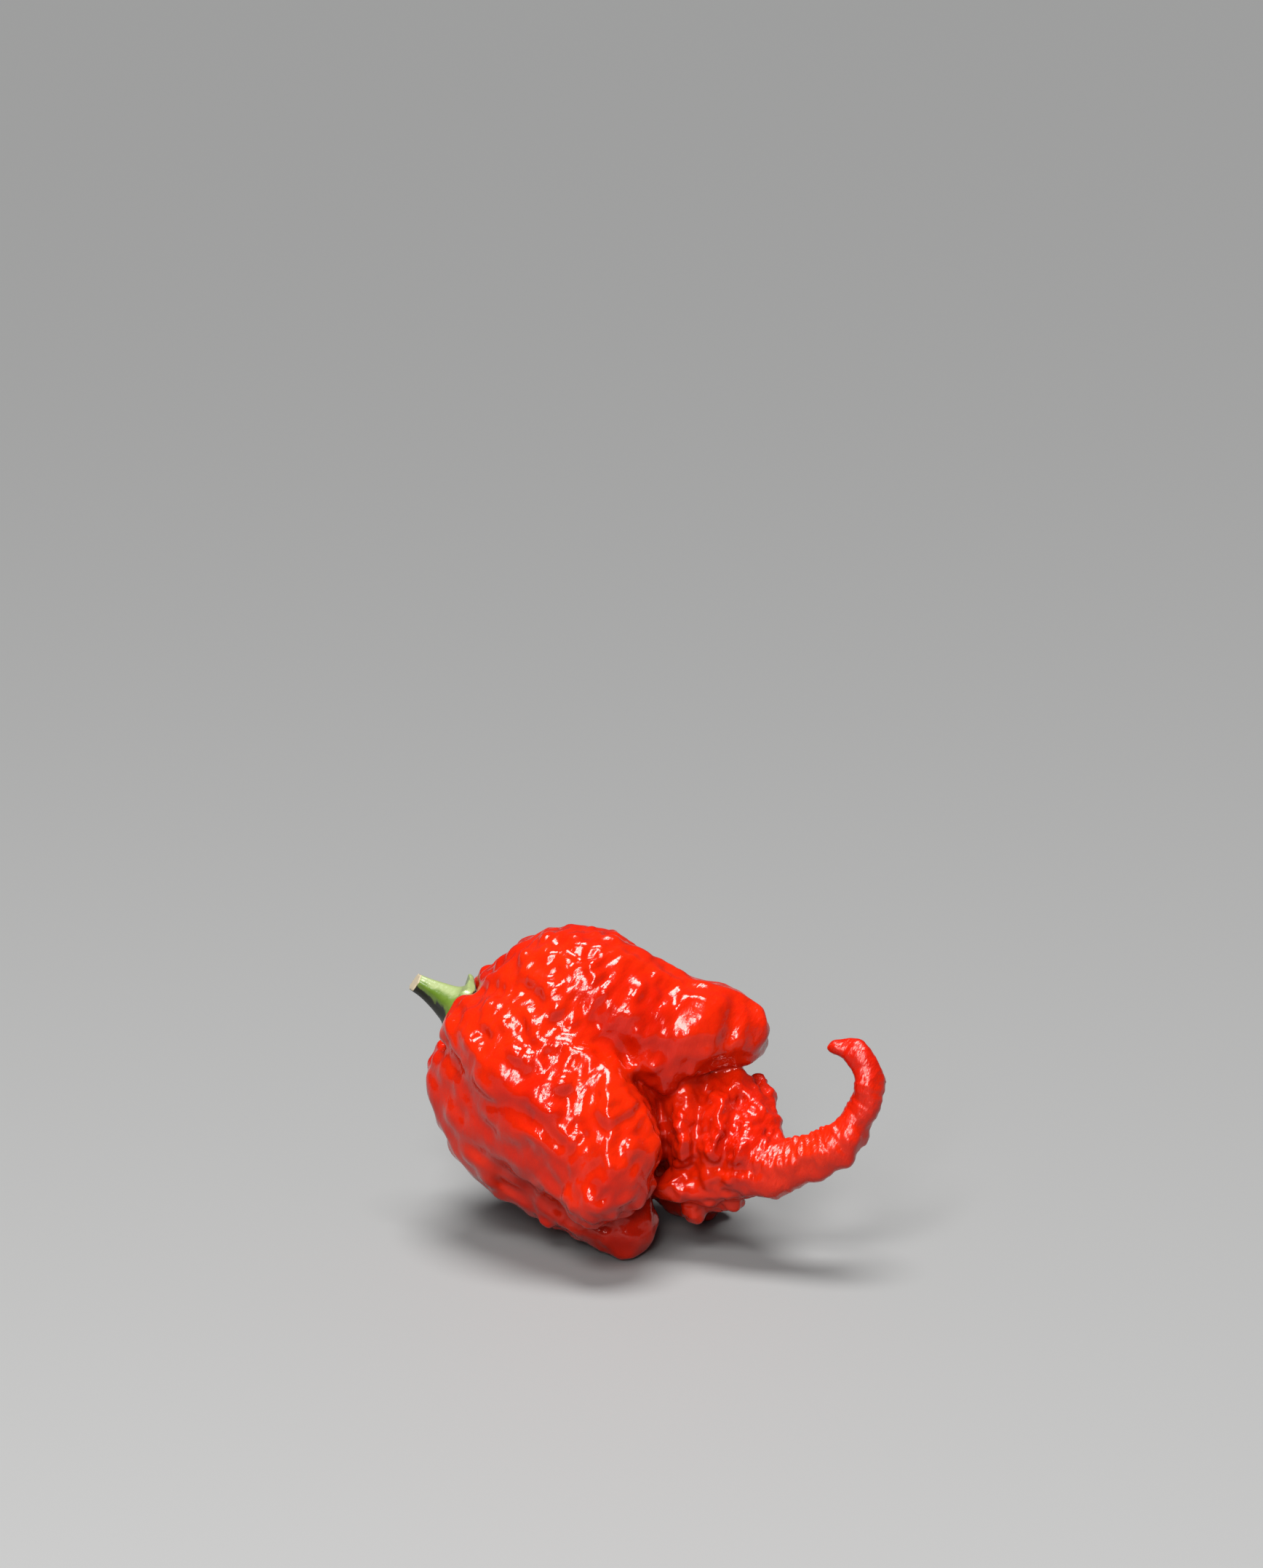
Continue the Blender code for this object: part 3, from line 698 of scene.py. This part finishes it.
class Nodes:
    """A short way to lay out a material's nodes."""

    def __init__(self, name):
        self.material = bpy.data.materials.new(name)
        self.material.use_nodes = True
        self.tree = self.material.node_tree
        self.shader = self.tree.nodes["Principled BSDF"]
        self.object = self.add("ShaderNodeTexCoord").outputs["Object"]

    def add(self, kind, inputs=None, **settings):
        """A new node: its settings, then its inputs, which are values or other nodes' outputs."""
        node = self.tree.nodes.new(kind)
        for key, value in settings.items():
            setattr(node, key, value)
        for key, value in (inputs or {}).items():
            self.feed(node.inputs[key], value)
        return node

    def feed(self, socket, value):
        if isinstance(value, bpy.types.NodeSocket):
            self.tree.links.new(value, socket)
        else:
            socket.default_value = value

    def noise(self, scale, detail, roughness=0.5, place=None):
        """Noise that goes with the object, or with another place where one is given."""
        inputs = {"Scale": scale, "Detail": detail, "Roughness": roughness}
        inputs["Vector"] = self.object if place is None else place
        return self.add("ShaderNodeTexNoise", inputs).outputs["Fac"]

    def span(self, value, low, high, start=0.0, end=1.0):
        """Maps low to high onto start to end."""
        inputs = {"Value": value, "From Min": low, "From Max": high, "To Min": start, "To Max": end}
        return self.add("ShaderNodeMapRange", inputs).outputs["Result"]

    def mix(self, share, first, second):
        """A colour between two. The mix node's colour sockets come after those of its other types."""
        node = self.add("ShaderNodeMix", data_type="RGBA")
        self.feed(node.inputs[0], share)
        self.feed(node.inputs[6], first)
        self.feed(node.inputs[7], second)
        return node.outputs[2]

    def times_plus(self, value, factor, rest):
        inputs = {0: value, 1: factor, 2: rest}
        return self.add("ShaderNodeMath", inputs, operation="MULTIPLY_ADD").outputs[0]

    def vector(self, operation, first, second=(0, 0, 0)):
        return self.add("ShaderNodeVectorMath", {0: first, 1: second}, operation=operation).outputs[0]

    def dot(self, first, second):
        node = self.add("ShaderNodeVectorMath", {0: first, 1: second}, operation="DOT_PRODUCT")
        return node.outputs["Value"]

    def scaled(self, vector, factor):
        inputs = {0: vector, "Scale": factor}
        return self.add("ShaderNodeVectorMath", inputs, operation="SCALE").outputs[0]

    def bump(self, height, strength, distance, under=None):
        """The normal after a bump, which is laid over another bump where `under` gives one."""
        node = self.add("ShaderNodeBump", {"Height": height, "Strength": strength, "Distance": distance})
        if under is not None:
            self.feed(node.inputs["Normal"], under)
        return node.outputs["Normal"]

    def set(self, name, value):
        self.feed(self.shader.inputs[name], value)


def red_material():
    nodes = Nodes("pod_red")
    patches = nodes.span(nodes.noise(PATCHES, 3), *PATCHES_SPAN)
    mottle = nodes.span(nodes.noise(MOTTLE, 4, 0.6), *MOTTLE_SPAN)
    colour = nodes.mix(patches, DEEP_RED, BRIGHT_RED)
    nodes.set("Base Color", nodes.mix(nodes.span(mottle, 0, 1, 0, DARK_SHARE), colour, DARK_RED))

    x = nodes.add("ShaderNodeSeparateXYZ", {0: nodes.object}).outputs["X"]
    gloss = nodes.span(nodes.noise(GLOSS_PATCHES, 3), *GLOSS_SPAN, *GLOSS)
    nodes.set("Roughness", nodes.times_plus(nodes.span(x, SATIN_FROM, SATIN_TO), SATIN, gloss))
    nodes.set("Subsurface Weight", FLESH_GLOW)
    nodes.set("Subsurface Radius", GLOW_REACH)
    nodes.set("Subsurface Scale", 1.0)
    nodes.set("IOR", SKIN_INDEX)
    nodes.set("Specular Tint", HIGHLIGHT_TINT)

    axis = Matrix.Rotation(-LEAN, 3, "X") @ Vector(AXIS)
    along = nodes.scaled(axis * STRIAE_ROUND, nodes.dot(nodes.object, axis))
    girth = nodes.vector("ADD", nodes.object, along)
    strength = nodes.span(x, STRIAE_FROM, STRIAE_TO, *STRIAE_STRENGTH)
    striae = nodes.bump(nodes.noise(STRIAE, 2, place=girth), strength, STRIAE_DEPTH)
    nodes.set("Normal", nodes.bump(nodes.noise(GRAIN, 3), GRAIN_STRENGTH, GRAIN_DEPTH, striae))
    return nodes.material


def green_material():
    nodes = Nodes("stalk_green")
    turn = Matrix.Rotation(-LEAN, 3, "X")
    axis = turn @ Vector(STALK_AXIS).normalized()
    middle = (turn @ Vector(CALYX_CENTRE) - Vector(ORIGIN)) * MM
    place = nodes.vector("SUBTRACT", nodes.object, middle)
    core = nodes.scaled(axis, nodes.dot(place, axis))
    facing = nodes.vector("NORMALIZE", nodes.vector("SUBTRACT", place, core))
    lit = nodes.dot(facing, LIT_SIDE)
    ragged = nodes.times_plus(nodes.noise(RAGGED_PATCHES, 4), RAGGED, lit)

    streaks = nodes.span(nodes.noise(STREAKS, 3), *PATCHES_SPAN)
    colour = nodes.mix(streaks, DARK_GREEN, GREEN)
    # Painted light makes the upper side paler, and painted shade makes the underside nearly black, past
    # ragged limits.
    colour = nodes.mix(nodes.span(ragged, LIT_FROM, LIT_TO), colour, LIT_GREEN)
    colour = nodes.mix(nodes.span(ragged, SHADED_FROM, SHADED_TO), colour, SHADED_GREEN)
    reach = nodes.dot(place, turn @ Vector(STALK_CUT))
    cut = nodes.span(reach, (STALK_LENGTH - CUT_FROM) * MM, (STALK_LENGTH - CUT_TO) * MM)
    nodes.set("Base Color", nodes.mix(cut, colour, CUT_CREAM))
    nodes.set("Roughness", GREEN_GLOSS)
    grain = nodes.noise(GREEN_GRAIN, 3)
    nodes.set("Normal", nodes.bump(grain, GREEN_GRAIN_STRENGTH, GREEN_GRAIN_DEPTH))
    return nodes.material


def floor_material():
    nodes = Nodes("floor")
    nodes.set("Base Color", FLOOR_GREY)
    nodes.set("Roughness", FLOOR_ROUGHNESS)
    return nodes.material


def studio():
    """The plain floor, and soft light from overhead and from the front."""
    mesh = bpy.data.meshes.new("floor")
    corners = [(-1, -1, 0), (1, -1, 0), (1, 1, 0), (-1, 1, 0)]
    mesh.from_pydata([FLOOR_REACH * Vector(corner) for corner in corners], [], [(0, 1, 2, 3)])
    mesh.materials.append(floor_material())
    floor = bpy.data.objects.new("floor", mesh)
    bpy.context.scene.collection.objects.link(floor)

    world = bpy.data.worlds.new("studio")
    bpy.context.scene.world = world
    world.use_nodes = True
    background = world.node_tree.nodes["Background"]
    background.inputs["Color"].default_value = SKY
    background.inputs["Strength"].default_value = SKY_STRENGTH

    overhead = bpy.data.lights.new("overhead", "SUN")
    overhead.angle = OVERHEAD_ANGLE
    overhead.energy = OVERHEAD_STRENGTH
    bpy.context.scene.collection.objects.link(bpy.data.objects.new("overhead", overhead))

    for name, place, size, power in LAMPS:
        lamp = bpy.data.lights.new(name, "AREA")
        lamp.size = size
        lamp.energy = power
        obj = bpy.data.objects.new(name, lamp)
        bpy.context.scene.collection.objects.link(obj)
        obj.location = place
        obj.rotation_euler = (LAMPS_AIM - Vector(place)).to_track_quat("-Z", "Y").to_euler()


def camera():
    data = bpy.data.cameras.new("camera")
    obj = bpy.data.objects.new("camera", data)
    bpy.context.scene.collection.objects.link(obj)
    bpy.context.scene.camera = obj
    data.sensor_fit = "VERTICAL"
    data.sensor_height = CAMERA_FILM
    data.lens = CAMERA_LENS
    right, up = FRAME_MIDDLE
    picture_up = Vector((0, math.sin(LEAN), math.cos(LEAN)))
    middle = Vector((right, 0, 0)) + picture_up * up - Vector(ORIGIN)
    back = Vector((0, -math.cos(CAMERA_ELEVATION), math.sin(CAMERA_ELEVATION)))
    obj.location = (middle + back * CAMERA_DISTANCE) * MM
    obj.rotation_euler = (-back).to_track_quat("-Z", "Y").to_euler()


bpy.context.scene.view_settings.view_transform = "Standard"
flesh = pod_field()
points, quads = skin(flesh)
points = relaxed(points, quads)
points += vertex_normals(points, quads) * pod_relief(points)[:, None]
pod = mesh_piece("pod_skin", points, quads, red_material())
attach(pod, "root")
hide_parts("pod")

points, quads = skin(green_field(flesh))
points = relaxed(points, quads)
stalk = mesh_piece("stalk_and_calyx_skin", points, quads, green_material())
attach(stalk, "root")
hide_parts("stalk_and_calyx")

studio()
camera()
